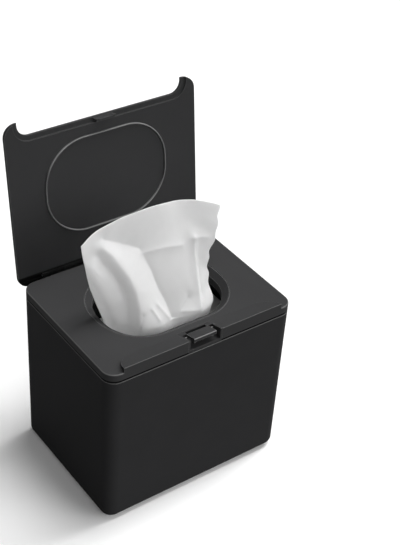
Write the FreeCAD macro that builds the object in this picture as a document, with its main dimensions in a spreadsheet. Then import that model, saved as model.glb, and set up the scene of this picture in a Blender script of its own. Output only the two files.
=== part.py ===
import FreeCAD, Part
import math
import os

import Sketcher

# Countertop wipes dispenser, in millimetres. The origin is on the table under the middle of the tub,
# +X runs to the right along the front, +Y to the back and +Z up. The flap stands open, as in use.

doc = FreeCAD.newDocument("WipesDispenser")

# Driving dimensions: alias, value, meaning.
SIZES = [
    ("width", 190.0, "outer width of tub, cover and flap"),
    ("depth", 144.0, "outer depth of tub and cover"),
    ("corner_radius", 12.0, "upright corners of tub and cover"),
    ("seam_height", 160.0, "rim of the tub above the table"),
    ("base_inset", 1.0, "how far the foot of the tub stands in from its rim, on each side"),
    ("foot_edge_radius", 8.0, "rounded edge round the underside of the tub"),
    ("wall", 2.5, "side wall of the tub"),
    ("floor_thickness", 3.0, "floor of the tub"),
    ("floor_round", 5.0, "rounding where the walls of the tub meet its floor"),
    ("rim_round", 1.0, "outer edge of the rim of the tub"),
    ("foot_radius", 8.0, "soft foot"),
    ("foot_stand", 1.0, "how far the feet hold the tub off the table"),
    ("foot_recess", 1.4, "how deep a foot sits in the underside of the tub"),
    ("foot_inset", 26.0, "centre of a foot in from the sides of the tub"),
    ("foot_fit", 0.1, "gap round a foot in its recess"),
    ("foot_round", 0.5, "lower edge of a foot"),
    ("seam_gap", 1.0, "shadow gap between tub and cover"),
    ("band_height", 8.0, "side of the cover that shows above the seam"),
    ("edge_round", 1.5, "upper outer edge of the cover"),
    ("edge_break", 0.5, "small broken edges"),
    ("cover_skin", 2.5, "top plate of the cover"),
    ("skirt_thickness", 2.2, "skirt of the cover inside the tub"),
    ("skirt_depth", 9.0, "how far the skirt reaches into the tub"),
    ("skirt_clearance", 0.5, "gap between skirt and tub wall"),
    ("rib_thickness", 1.5, "ribs under the top plate"),
    ("rib_height", 3.0, "how far the ribs stand down from the top plate"),
    ("rib_spread", 26.0, "ribs to the front and back of the middle"),
    ("seal_height", 2.4, "soft ring round the skirt"),
    ("seal_drop", 3.0, "top of the soft ring below the rim of the tub"),
    ("seal_groove", 1.0, "groove of the soft ring in the skirt"),
    ("seal_clearance", 0.3, "gap between the soft ring and the tub wall"),
    ("seal_fit", 0.1, "gap round the soft ring in its groove"),
    ("lip_height", 5.0, "front lip above the top of the cover"),
    ("lip_end_radius", 18.0, "rounded rear corners of the lip, seen from above"),
    ("lip_end_gap", 1.2, "gap between the ends of the lip and the horns of the flap"),
    ("lip_clearance", 0.3, "gap between the ramp of the lip and the closed flap"),
    ("seat_side_inset", 30.0, "oval seat of the funnel in from the sides of the cover"),
    ("seat_end_inset", 24.0, "the same from the front and the back"),
    ("seat_flat", 8.0, "straight part at each end of that oval"),
    ("seat_drop", 4.6, "seat of the funnel below the top of the cover"),
    ("ledge_thickness", 2.0, "ledge that carries the funnel"),
    ("collar_wall", 2.0, "wall of the collar round the seat"),
    ("funnel_gap", 0.3, "gap round the funnel in its seat"),
    ("funnel_rim", 0.4, "outer edge of the funnel below the top of the cover"),
    ("funnel_land", 0.8, "flat outer edge of the funnel before it slopes"),
    ("throat_inset", 7.0, "oval throat that the wipe comes through, in from the seat all round"),
    ("throat_wall", 2.0, "wall of the throat"),
    ("throat_length", 7.0, "throat below the seat of the funnel"),
    ("hinge_offset", 3.4, "axis of the flap behind the back of the cover"),
    ("barrel_radius", 2.6, "hinge knuckles"),
    ("barrel_inset", 23.0, "row of hinge knuckles in from the sides"),
    ("barrel_clearance", 0.4, "gap between a cover knuckle and the flap round it"),
    ("knuckle_width", 14.0, "one knuckle of the cover"),
    ("knuckle_inset", 14.0, "middle of the outer knuckles of the cover in from the ends of that row"),
    ("knuckle_side_gap", 0.35, "gap beside a knuckle of the cover"),
    ("bracket_setback", 1.4, "back of a knuckle's bracket ahead of the axis"),
    ("bracket_drop", 6.5, "foot of a bracket below the top of the cover"),
    ("pin_radius", 1.25, "hinge pin"),
    ("pin_clearance", 0.05, "running gap round the hinge pin and the button pin"),
    ("lean_angle", 7.0, "open flap leans back by this many degrees"),
    ("flap_gap", 0.3, "gap between the closed flap and the cover"),
    ("flap_thickness", 4.5, "plate of the flap"),
    ("flap_tail", 6.0, "flap behind its axis"),
    ("flap_tail_radius", 10.0, "rear corners of the flap"),
    ("flap_round", 1.6, "outer edge of the flap"),
    ("edge_setback", 13.5, "front edge of the closed flap behind the front of the cover"),
    ("horn_width", 13.0, "horns of the flap at the front corners"),
    ("horn_radius", 11.0, "curve between a horn and the front edge"),
    ("rebate_width", 4.5, "rebate along the front edge of the flap"),
    ("rebate_depth", 2.0, "depth of that rebate"),
    ("ring_inset", 4.0, "middle of the flap's soft ring in from the seat all round"),
    ("ring_thickness", 1.1, "section of the soft ring"),
    ("ring_height", 1.6, "soft ring above the inner face of the flap"),
    ("ring_groove", 1.0, "depth of its groove in the flap"),
    ("ring_fit", 0.1, "gap round it in that groove"),
    ("hook_width", 19.0, "catch hook of the flap"),
    ("hook_thickness", 1.8, "the same, front to back"),
    ("hook_reach", 4.2, "how far the hook reaches below the inner face"),
    ("hook_setback", 0.8, "hook behind the front edge of the flap"),
    ("hook_clearance", 0.6, "gap round the hook in its slot"),
    ("nose_width", 3.0, "the two noses of the hook"),
    ("nose_reach", 0.8, "how far a nose stands ahead of the hook"),
    ("nose_height", 1.3, "height of a nose"),
    ("bezel_width", 34.0, "frame of the button in the front lip"),
    ("bezel_setback", 0.2, "frame behind the front of the cover"),
    ("bezel_gap", 0.2, "gap between the frame and the cover"),
    ("bezel_wall", 1.5, "cheeks of the frame"),
    ("bezel_back", 1.6, "frame behind the slot of the hook"),
    ("ledge_height", 2.4, "floor of the frame"),
    ("deck_thickness", 2.2, "top of the frame behind the button"),
    ("button_width", 22.6, "press button"),
    ("button_setback", 0.6, "button behind the front of the cover"),
    ("button_skin", 2.2, "top plate of the button"),
    ("button_drop", 3.6, "front edge of the button, top to bottom"),
    ("button_front", 1.5, "front edge of the button, front to back"),
    ("button_round", 1.3, "upper front edge of the button"),
    ("button_gap", 0.3, "gap behind the button"),
    ("fin_spread", 9.2, "fins under the button from the middle"),
    ("fin_thickness", 1.0, "a fin"),
    ("fin_depth", 2.2, "a fin, front to back"),
    ("fin_setback", 2.0, "fin behind the front of the button"),
    ("fin_reach", 3.4, "how far a fin hangs below the top plate"),
    ("button_boss", 1.5, "bosses of the button round its pin"),
    ("boss_length", 4.4, "one boss, along the pin"),
    ("button_pin_radius", 0.8, "pin of the button"),
    ("button_pin_setback", 1.8, "that pin ahead of the back of the button"),
    ("button_pin_drop", 0.6, "that pin below the top of the cover"),
    ("spring_radius", 1.15, "spring under the button, to the middle of its wire"),
    ("spring_wire", 0.22, "radius of the spring's wire"),
    ("spring_turns", 5.0, "turns of the spring"),
    ("spring_gap", 0.1, "gap above and below the spring"),
    ("stack_side_gap", 6.5, "folded wipes from the side walls of the tub at its rim"),
    ("stack_end_gap", 15.5, "the same from the front and rear walls"),
    ("stack_headroom", 43.7, "top of the folded wipes below the rim of the tub"),
    ("stack_radius", 6.0, "upright corners of the folded wipes"),
    ("stack_round", 3.0, "upper edge of the folded wipes"),
    ("soft_gap", 0.3, "gap between soft pieces and what they rest on"),
    ("wipe_rise", 88.5, "standing wipe above the top of the cover"),
    ("wipe_tilt", 2.0, "right end of its top edge above the middle, and left end below it"),
    ("wipe_thickness", 1.2, "folded wipe"),
    ("wipe_clearance", 1.0, "standing wipe inside the throat"),
    ("overrun", 5.0, "how far cuts run past what they cut"),
]

sheet = doc.addObject("Spreadsheet::Sheet", "Sizes")
for row, (alias, value, meaning) in enumerate(SIZES, 1):
    sheet.set(f"A{row}", meaning)
    sheet.set(f"B{row}", str(value))
    sheet.setAlias(f"B{row}", alias)
doc.recompute()


def sized(text):
    """Put the sheet's name in front of every alias in a formula."""
    words = text.replace("(", " ( ").replace(")", " ) ").replace(";", " ; ").split()
    names = {alias for alias, value, meaning in SIZES}
    formula = " ".join("Sizes." + word if word in names else word for word in words)
    return formula.replace("atan (", "atan(")


def number(formula):
    """The value that a formula of the sheet has now."""
    result = sheet.evalExpression(sized(formula))
    return float(getattr(result, "Value", result))


# Places that several pieces share, as formulas of the sheet.
COVER_FOOT = "( seam_height + seam_gap )"
COVER_TOP = f"( {COVER_FOOT} + band_height )"
FRONT = "( 0 - depth / 2 )"
SKIRT_INSET = "( wall + skirt_clearance )"
HINGE_Y = "( depth / 2 + hinge_offset )"
HINGE_Z = f"( {COVER_TOP} + flap_gap )"
FLAP_REACH = "( depth + hinge_offset )"
FLAP_EDGE = f"( {FLAP_REACH} - edge_setback )"
RAMP_DEPTH = "( edge_setback + rebate_width - lip_clearance )"
RAMP_BACK = f"( {FRONT} + {RAMP_DEPTH} )"
HOOK_FRONT = f"( {FRONT} + edge_setback + hook_setback )"
SLOT_FRONT = f"( {HOOK_FRONT} - nose_reach - hook_clearance )"
SLOT_BACK = f"( {HOOK_FRONT} + hook_thickness + hook_clearance )"
BEZEL_FRONT = f"( {FRONT} + bezel_setback )"
BEZEL_BACK = f"( {SLOT_BACK} + bezel_back )"
BEZEL_FLOOR = f"( {COVER_FOOT} + ledge_height )"
BUTTON_FRONT = f"( {FRONT} + button_setback )"
BUTTON_BACK = f"( {SLOT_FRONT} - button_gap )"
BUTTON_PIN_Y = f"( {BUTTON_BACK} - button_pin_setback )"
BUTTON_PIN_Z = f"( {COVER_TOP} - button_pin_drop )"
SEAT_WIDTH = "( width - 2 * seat_side_inset )"
SEAT_DEPTH = "( depth - 2 * seat_end_inset )"
SEAT_RADIUS = f"( ( {SEAT_DEPTH} - seat_flat ) / 2 )"
THROAT_WIDTH = f"( {SEAT_WIDTH} - 2 * throat_inset )"
THROAT_DEPTH = f"( {SEAT_DEPTH} - 2 * throat_inset )"
THROAT_RADIUS = f"( {SEAT_RADIUS} - throat_inset )"
BARREL_LENGTH = "( width - 2 * barrel_inset )"
STACK_FOOT = "( foot_stand + floor_thickness + soft_gap )"
STACK_TOP = "( seam_height - stack_headroom )"


def ramp_at(place):
    """Height of the sloping lip above the table at a place along Y."""
    return f"( {COVER_TOP} + lip_height * ( {RAMP_BACK} - ( {place} ) ) / {RAMP_DEPTH} )"


# Sketches and features.
SAME_PLACE = 1e-4


def new_body(label):
    body = doc.addObject("PartDesign::Body", label)
    body.Label = label
    return body


def sketch_on(body, plane="XY_Plane", level="0"):
    """An empty sketch on one of the body's own planes, lifted off it by a formula."""
    sketch = body.newObject("Sketcher::SketchObject", "Sketch")
    origin_plane = next(part for part in body.Origin.OriginFeatures if part.Role == plane)
    sketch.AttachmentSupport = [(origin_plane, "")]
    sketch.MapMode = "FlatFace"
    sketch.setExpression("AttachmentOffset.Base.z", sized(level))
    return sketch


def bind(sketch, constraint, formula):
    index = sketch.addConstraint(constraint)
    sketch.setExpression(f"Constraints[{index}]", sized(formula))


def pin_point(sketch, line, end, x, y):
    """Hold one end of a line at a place given by two formulas."""
    for kind, axis, formula in (("DistanceX", -2, x), ("DistanceY", -1, y)):
        if formula == "0":
            sketch.addConstraint(Sketcher.Constraint("PointOnObject", line, end, axis))
        else:
            place = number(formula)
            bind(sketch, Sketcher.Constraint(kind, -1, 1, line, end, place), formula)


def add_polygon(sketch, corners):
    """A closed outline of straight lines; each corner is a pair of formulas."""
    first = sketch.GeometryCount
    spots = [FreeCAD.Vector(number(x), number(y), 0) for x, y in corners]
    for start, end in zip(spots, spots[1:] + spots[:1]):
        sketch.addGeometry(Part.LineSegment(start, end))
    for index, (x, y) in enumerate(corners):
        following = (index + 1) % len(corners)
        sketch.addConstraint(Sketcher.Constraint("Coincident", first + index, 2, first + following, 1))
        pin_point(sketch, first + index, 1, x, y)


def add_box(sketch, low_x, high_x, low_y, high_y):
    add_polygon(sketch, [(low_x, low_y), (high_x, low_y), (high_x, high_y), (low_x, high_y)])


def add_circle(sketch, radius, x="0", y="0"):
    first = sketch.GeometryCount
    centre = FreeCAD.Vector(number(x), number(y), 0)
    sketch.addGeometry(Part.Circle(centre, FreeCAD.Vector(0, 0, 1), number(radius)))
    bind(sketch, Sketcher.Constraint("Radius", first, number(radius)), radius)
    pin_point(sketch, first, 3, x, y)


def add_oval(sketch, width, depth, radius, shift="0"):
    """A rectangle with round corners about the origin, moved by shift along the sketch's Y."""
    first = sketch.GeometryCount
    x = number(width) / 2
    y = number(depth) / 2
    r = number(radius)
    s = number(shift)
    spot = FreeCAD.Vector
    sides = [
        (spot(r - x, s - y, 0), spot(x - r, s - y, 0)),
        (spot(x, s - y + r, 0), spot(x, s + y - r, 0)),
        (spot(x - r, s + y, 0), spot(r - x, s + y, 0)),
        (spot(-x, s + y - r, 0), spot(-x, s - y + r, 0)),
    ]
    for start, end in sides:
        sketch.addGeometry(Part.LineSegment(start, end))
    centres = [spot(x - r, s - y + r, 0), spot(x - r, s + y - r, 0),
               spot(r - x, s + y - r, 0), spot(r - x, s - y + r, 0)]
    quarter = math.pi / 2
    for turn, centre in enumerate(centres):
        circle = Part.Circle(centre, spot(0, 0, 1), r)
        sketch.addGeometry(Part.ArcOfCircle(circle, (turn - 1) * quarter, turn * quarter))
    for turn in range(4):
        line = first + turn
        arc = first + 4 + turn
        following = first + (turn + 1) % 4
        sketch.addConstraint(Sketcher.Constraint("Tangent", line, 2, arc, 1))
        sketch.addConstraint(Sketcher.Constraint("Tangent", arc, 2, following, 1))
    for turn in range(3):
        sketch.addConstraint(Sketcher.Constraint("Equal", first + 4 + turn, first + 5 + turn))
    sketch.addConstraint(Sketcher.Constraint("Horizontal", first))
    sketch.addConstraint(Sketcher.Constraint("Vertical", first + 1))
    bind(sketch, Sketcher.Constraint("Radius", first + 4, r), radius)
    bind(sketch, Sketcher.Constraint("DistanceX", first + 3, 2, first + 1, 1, 2 * x), width)
    bind(sketch, Sketcher.Constraint("DistanceY", first, 2, first + 2, 1, 2 * y), depth)
    bind(sketch, Sketcher.Constraint("DistanceX", -1, 1, first + 1, 1, x), f"( {width} ) / 2")
    top = f"( {shift} ) + ( {depth} ) / 2"
    bind(sketch, Sketcher.Constraint("DistanceY", -1, 1, first + 2, 1, s + y), top)


def extrude(body, sketch, length, kind="Pad", backwards=False, symmetric=False, taper=None):
    """Pad or pocket a sketch and make sure that it changed the body."""
    before = body.Shape.Volume if body.Tip else 0
    feature = body.newObject("PartDesign::" + kind, kind)
    feature.Profile = sketch
    feature.setExpression("Length", sized(length))
    feature.Reversed = backwards
    if taper:
        feature.setExpression("TaperAngle", sized(taper))
    if symmetric:
        feature.SideType = "Symmetric"
    sketch.Visibility = False
    doc.recompute()
    change = feature.Shape.Volume - before
    wanted = change > 0 if kind == "Pad" else change < 0
    if not wanted:
        raise RuntimeError(f"{body.Label}: {feature.Name} changed nothing")
    return feature


def loft(body, kind, sketches):
    feature = body.newObject("PartDesign::" + kind, kind)
    feature.Profile = sketches[0]
    feature.Sections = sketches[1:]
    feature.Ruled = True
    doc.recompute()
    return feature


def round_edges(body, radius, wanted, kind="Fillet"):
    """Round (or chamfer) the edges of the body for which wanted says yes."""
    base = body.Tip
    names = [f"Edge{index}" for index, edge in enumerate(base.Shape.Edges, 1) if wanted(edge)]
    feature = body.newObject("PartDesign::" + kind, kind)
    feature.Base = (base, names)
    feature.setExpression("Radius" if kind == "Fillet" else "Size", sized(radius))
    doc.recompute()
    return feature


def same(first, second):
    """Whether two places are the same, to within what the modeller keeps."""
    return math.isclose(first, second, abs_tol=SAME_PLACE)


def level_edge(height):
    """A test for edges that lie wholly at one height."""
    place = number(height)
    return lambda edge: same(edge.BoundBox.ZMin, place) and same(edge.BoundBox.ZMax, place)


def inset_of(edge):
    """How far inside the outline of tub and cover the middle of an edge lies, seen from above."""
    middle = edge.valueAt((edge.FirstParameter + edge.LastParameter) / 2)
    radius = number("corner_radius")
    across = abs(middle.x) - number("width / 2 - corner_radius")
    along = abs(middle.y) - number("depth / 2 - corner_radius")
    if across > 0 and along > 0:
        return radius - math.hypot(across, along)
    return radius - max(across, along)


def outer_edge(height):
    """A test for the outermost edges of tub and cover at a height."""
    level = level_edge(height)
    near = number("wall / 2")
    return lambda edge: level(edge) and inset_of(edge) < near


# Tub: an open box with a little draft, a rounded foot edge and a recess for each foot.
def make_tub():
    body = new_body("tub")
    lean = "atan ( ( 0 - base_inset ) / ( seam_height - foot_stand ) )"
    rim = sketch_on(body, level="seam_height")
    add_oval(rim, "width", "depth", "corner_radius")
    extrude(body, rim, "seam_height - foot_stand", backwards=True, taper=lean)
    mouth = sketch_on(body, level="seam_height")
    add_oval(mouth, "width - 2 * wall", "depth - 2 * wall", "corner_radius - wall")
    extrude(body, mouth, "seam_height - foot_stand - floor_thickness", kind="Pocket", taper=lean)
    round_edges(body, "floor_round", level_edge("foot_stand + floor_thickness"))
    round_edges(body, "foot_edge_radius", level_edge("foot_stand"))
    round_edges(body, "rim_round", outer_edge("seam_height"))

    recesses = sketch_on(body, level="foot_stand")
    for x, y in foot_places():
        add_circle(recesses, "foot_radius + foot_fit", x, y)
    extrude(body, recesses, "foot_recess", kind="Pocket", backwards=True)
    return body


def foot_places():
    """Centres of the four feet: front left, front right, rear left, rear right."""
    across = "( width / 2 - foot_inset )"
    along = "( depth / 2 - foot_inset )"
    return [(f"{side} * {across}", f"{end} * {along}") for end in (-1, 1) for side in (-1, 1)]


def make_foot(label, place):
    """A soft disc in its recess, standing a little below the tub."""
    body = new_body(label)
    disc = sketch_on(body)
    add_circle(disc, "foot_radius")
    extrude(body, disc, "foot_stand + foot_recess - foot_fit")
    round_edges(body, "foot_round", level_edge("0"), kind="Chamfer")
    body.setExpression("Placement.Base.x", sized(place[0]))
    body.setExpression("Placement.Base.y", sized(place[1]))
    return body


# Cover: band and top plate, skirt in the tub, front lip, seat of the funnel, notch and hinge knuckles.
def make_cover():
    body = new_body("cover")
    band = sketch_on(body, level=COVER_FOOT)
    add_oval(band, "width", "depth", "corner_radius")
    extrude(body, band, "band_height + lip_height")
    cut_to_lip(body)
    round_edges(body, "edge_round", outer_edge(COVER_TOP))
    hollow_underside(body)
    add_seat(body)
    cut_notch(body)
    add_hinge_knuckles(body)
    return body


def cut_to_lip(body):
    """The lip slopes up to the front face and its rear corners are round, where the horns go."""
    around = sketch_on(body, level=COVER_TOP)
    add_box(around, "0 - width", "width", "0 - 2 * depth", "depth")
    length = f"{RAMP_DEPTH} + 2 * lip_end_radius"
    add_oval(around, "width - 2 * ( horn_width + lip_end_gap )", length, "lip_end_radius",
             shift=f"{RAMP_BACK} - ( {length} ) / 2")
    extrude(body, around, "lip_height + overrun", kind="Pocket", backwards=True)

    slope = sketch_on(body, "YZ_Plane")
    peak = f"{COVER_TOP} + lip_height"
    add_polygon(slope, [
        (RAMP_BACK, COVER_TOP),
        (f"{RAMP_BACK} + overrun", COVER_TOP),
        (f"{RAMP_BACK} + overrun", f"{peak} + overrun"),
        (f"{FRONT} - overrun", f"{peak} + overrun"),
        (f"{FRONT} - overrun", f"{peak} + overrun * lip_height / {RAMP_DEPTH}"),
    ])
    extrude(body, slope, "width + 2 * overrun", kind="Pocket", symmetric=True)
    front = number(FRONT)
    top = number(peak)
    round_edges(body, "edge_break", lambda edge: same(edge.BoundBox.ZMin, top)
                and same(edge.BoundBox.ZMax, top) and same(edge.BoundBox.YMax, front))


def hollow_underside(body):
    """Hollow the cover from below and hang the skirt with its seal groove and the ribs in it."""
    foot = "seam_height - skirt_depth"
    skirt = sketch_on(body, level=foot)
    outer = f"2 * {SKIRT_INSET}"
    add_oval(skirt, f"width - {outer}", f"depth - {outer}", f"corner_radius - {SKIRT_INSET}")
    extrude(body, skirt, "skirt_depth + seam_gap + cover_skin")
    hollow = sketch_on(body, level=foot)
    inner = f"2 * ( {SKIRT_INSET} + skirt_thickness )"
    add_oval(hollow, f"width - {inner}", f"depth - {inner}",
             f"corner_radius - {SKIRT_INSET} - skirt_thickness")
    extrude(body, hollow, "skirt_depth + seam_gap + band_height - cover_skin", kind="Pocket",
            backwards=True)

    groove = sketch_on(body, level="seam_height - seal_drop - seal_height")
    grooved = f"2 * ( {SKIRT_INSET} + seal_groove )"
    add_oval(groove, "width", "depth", "corner_radius")
    add_oval(groove, f"width - {grooved}", f"depth - {grooved}",
             f"corner_radius - {SKIRT_INSET} - seal_groove")
    extrude(body, groove, "seal_height", kind="Pocket", backwards=True)

    ribs = sketch_on(body, level=f"{COVER_TOP} - cover_skin - rib_height")
    inside = f"( {SEAT_WIDTH} / 2 + collar_wall / 2 )"
    outside = f"( width / 2 - {SKIRT_INSET} - skirt_thickness / 2 )"
    for side_inner, side_outer in ((inside, outside), (f"0 - {outside}", f"0 - {inside}")):
        for end in (-1, 1):
            middle = f"{end} * rib_spread"
            add_box(ribs, side_inner, side_outer,
                    f"{middle} - rib_thickness / 2", f"{middle} + rib_thickness / 2")
    extrude(body, ribs, "rib_height + cover_skin / 2")


def add_seat(body):
    """The oval seat of the funnel: a collar below the plate with a ledge inside it."""
    foot = f"{COVER_TOP} - seat_drop - ledge_thickness"
    collar = sketch_on(body, level=foot)
    add_oval(collar, f"{SEAT_WIDTH} + 2 * collar_wall", f"{SEAT_DEPTH} + 2 * collar_wall",
             f"{SEAT_RADIUS} + collar_wall")
    extrude(body, collar, "seat_drop + ledge_thickness")
    seat = sketch_on(body, level=COVER_TOP)
    add_oval(seat, SEAT_WIDTH, SEAT_DEPTH, SEAT_RADIUS)
    extrude(body, seat, "seat_drop", kind="Pocket")
    hole = sketch_on(body, level=COVER_TOP)
    reach = "2 * ( throat_wall + funnel_gap )"
    add_oval(hole, f"{THROAT_WIDTH} + {reach}", f"{THROAT_DEPTH} + {reach}",
             f"{THROAT_RADIUS} + throat_wall + funnel_gap")
    extrude(body, hole, "seat_drop + ledge_thickness + overrun", kind="Pocket")


def cut_notch(body):
    """The notch in the lip that takes the button's frame, open to the front and the seam."""
    notch = sketch_on(body, level=COVER_FOOT)
    half = "( bezel_width / 2 + bezel_gap )"
    add_box(notch, f"0 - {half}", half, f"{FRONT} - overrun", f"{BEZEL_BACK} + bezel_gap")
    extrude(body, notch, "band_height + lip_height + overrun", kind="Pocket", backwards=True)


def knuckle_places():
    outer = f"( {BARREL_LENGTH} / 2 - knuckle_inset )"
    return [f"0 - {outer}", "0", outer]


def add_hinge_knuckles(body):
    """Three knuckles behind the back face, each on a bracket that also stops the open flap."""
    for place in knuckle_places():
        bracket = sketch_on(body, "YZ_Plane", place)
        add_box(bracket, "depth / 2 - wall", f"{HINGE_Y} - bracket_setback",
                f"{COVER_TOP} - bracket_drop", f"{COVER_TOP} - edge_break")
        extrude(body, bracket, "knuckle_width", symmetric=True)
        barrel = sketch_on(body, "YZ_Plane", place)
        add_circle(barrel, "barrel_radius", HINGE_Y, HINGE_Z)
        extrude(body, barrel, "knuckle_width", symmetric=True)
    bore = sketch_on(body, "YZ_Plane")
    add_circle(bore, "pin_radius + pin_clearance", HINGE_Y, HINGE_Z)
    extrude(body, bore, "width", kind="Pocket", symmetric=True)


# Soft ring round the skirt, in its groove.
def make_cover_seal():
    body = new_body("cover_seal")
    ring = sketch_on(body, level="seam_height - seal_drop - seal_height + seal_fit")
    outer = "( wall + seal_clearance )"
    inner = f"( {SKIRT_INSET} + seal_groove - seal_fit )"
    add_oval(ring, f"width - 2 * {outer}", f"depth - 2 * {outer}", f"corner_radius - {outer}")
    add_oval(ring, f"width - 2 * {inner}", f"depth - 2 * {inner}", f"corner_radius - {inner}")
    extrude(body, ring, "seal_height - 2 * seal_fit")
    return body


# Funnel: a ring on the ledge of the seat that slopes in and down to the throat.
def make_funnel():
    body = new_body("funnel")
    seat = f"{COVER_TOP} - seat_drop"
    rim = f"{COVER_TOP} - funnel_rim"
    flange = sketch_on(body, level=seat)
    add_oval(flange, f"{SEAT_WIDTH} - 2 * funnel_gap", f"{SEAT_DEPTH} - 2 * funnel_gap",
             f"{SEAT_RADIUS} - funnel_gap")
    extrude(body, flange, "seat_drop - funnel_rim")
    collar = sketch_on(body, level=f"{seat} - throat_length")
    add_oval(collar, f"{THROAT_WIDTH} + 2 * throat_wall", f"{THROAT_DEPTH} + 2 * throat_wall",
             f"{THROAT_RADIUS} + throat_wall")
    extrude(body, collar, "throat_length + throat_wall / 2")

    top = sketch_on(body, level=rim)
    land = "2 * ( funnel_gap + funnel_land )"
    add_oval(top, f"{SEAT_WIDTH} - {land}", f"{SEAT_DEPTH} - {land}", f"{SEAT_RADIUS} - {land} / 2")
    bottom = sketch_on(body, level=f"{seat} + funnel_rim / 2")
    add_oval(bottom, THROAT_WIDTH, THROAT_DEPTH, THROAT_RADIUS)
    loft(body, "SubtractiveLoft", [bottom, top])
    throat = sketch_on(body, level=rim)
    add_oval(throat, THROAT_WIDTH, THROAT_DEPTH, THROAT_RADIUS)
    extrude(body, throat, "seat_drop + throat_length + overrun", kind="Pocket")
    return body


# Flap: modelled lying closed with its axis at the origin, then turned up about that axis.
def make_flap():
    body = new_body("flap")
    plate = sketch_on(body)
    add_box(plate, "0 - width / 2", "width / 2", f"0 - {FLAP_REACH}", "flap_tail")
    extrude(body, plate, "flap_thickness")
    back = number("flap_tail")
    front = number(f"0 - {FLAP_REACH}")
    upright = number("flap_thickness")

    def corner(place):
        return lambda edge: same(edge.BoundBox.YMin, place) and same(edge.BoundBox.YMax, place) and (
            same(edge.BoundBox.ZLength, upright) and same(edge.BoundBox.XLength, 0))

    round_edges(body, "flap_tail_radius", corner(back))
    round_edges(body, "corner_radius", corner(front))
    top = level_edge("flap_thickness")
    round_edges(body, "flap_round", top)
    cut_front_edge(body)
    add_flap_barrel(body)
    add_hook(body)
    cut_ring_groove(body)
    place_on_hinge(body)
    return body


def cut_front_edge(body):
    """Cut the front edge back between the two horns, and rebate the inner face along it."""
    spare = "4 * horn_radius"
    edge = sketch_on(body)
    length = f"( edge_setback + {spare} )"
    add_oval(edge, "width - 2 * horn_width", length, "horn_radius",
             shift=f"0 - {FLAP_EDGE} - {length} / 2")
    extrude(body, edge, "flap_thickness", kind="Pocket", backwards=True)
    rebate = sketch_on(body)
    length = f"( edge_setback + rebate_width + {spare} )"
    add_oval(rebate, "width - 2 * horn_width + 2 * rebate_width", length, "horn_radius + rebate_width",
             shift=f"rebate_width - {FLAP_EDGE} - {length} / 2")
    extrude(body, rebate, "rebate_depth", kind="Pocket", backwards=True)


def add_flap_barrel(body):
    """One long barrel on the axis, cut away round the cover's knuckles, with a bore for the pin."""
    barrel = sketch_on(body, "YZ_Plane")
    add_circle(barrel, "barrel_radius")
    extrude(body, barrel, BARREL_LENGTH, symmetric=True)
    for place in knuckle_places():
        gap = sketch_on(body, "YZ_Plane", place)
        add_circle(gap, "barrel_radius + barrel_clearance")
        extrude(body, gap, "knuckle_width + 2 * knuckle_side_gap", kind="Pocket", symmetric=True)
    bore = sketch_on(body, "YZ_Plane")
    add_circle(bore, "pin_radius + pin_clearance")
    extrude(body, bore, "width", kind="Pocket", symmetric=True)


def add_hook(body):
    """The catch hook on the inner face, with a nose at each end."""
    back = f"hook_setback + hook_thickness - {FLAP_EDGE}"
    front = f"hook_setback - {FLAP_EDGE}"
    hook = sketch_on(body, level="0 - hook_reach")
    add_box(hook, "0 - hook_width / 2", "hook_width / 2", front, back)
    extrude(body, hook, "hook_reach + rebate_depth + flap_round / 2")
    noses = sketch_on(body, level="0 - hook_reach")
    for low, high in (("0 - hook_width / 2", "nose_width - hook_width / 2"),
                      ("hook_width / 2 - nose_width", "hook_width / 2")):
        add_box(noses, low, high, f"{front} - nose_reach", f"{front} + hook_thickness / 2")
    extrude(body, noses, "nose_height")


def cut_ring_groove(body):
    groove = sketch_on(body)
    add_ring(groove, "( ring_thickness / 2 + ring_fit )")
    extrude(body, groove, "ring_groove", kind="Pocket", backwards=True)


def add_ring(sketch, reach):
    """Two ovals, one outside and one inside the line of the soft ring."""
    for inset in (f"( ring_inset - {reach} )", f"( ring_inset + {reach} )"):
        add_oval(sketch, f"{SEAT_WIDTH} - 2 * {inset}", f"{SEAT_DEPTH} - 2 * {inset}",
                 f"{SEAT_RADIUS} - {inset}", shift=f"0 - {HINGE_Y}")


def make_flap_seal():
    body = new_body("flap_seal")
    ring = sketch_on(body, level="0 - ring_height")
    add_ring(ring, "( ring_thickness / 2 )")
    extrude(body, ring, "ring_height + ring_groove - ring_fit")
    round_edges(body, "ring_thickness / 4", level_edge("0 - ring_height"), kind="Chamfer")
    place_on_hinge(body)
    return body


def place_on_hinge(body):
    """Stand a piece that was modelled lying closed up to the open flap's angle."""
    body.setExpression("Placement.Base.y", sized(HINGE_Y))
    body.setExpression("Placement.Base.z", sized(HINGE_Z))
    angle = -(90 + number("lean_angle"))
    body.Placement.Rotation = FreeCAD.Rotation(FreeCAD.Vector(1, 0, 0), angle)


# Pins: plain steel rods along X.
def make_pin(label, radius, length, y, z):
    rod = doc.addObject("Part::Cylinder", label)
    rod.Label = label
    rod.setExpression("Radius", sized(radius))
    rod.setExpression("Height", sized(length))
    rod.Placement.Rotation = FreeCAD.Rotation(FreeCAD.Vector(0, 1, 0), 90)
    rod.setExpression("Placement.Base.x", sized(f"0 - ( {length} ) / 2"))
    rod.setExpression("Placement.Base.y", sized(y))
    rod.setExpression("Placement.Base.z", sized(z))
    return rod


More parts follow.
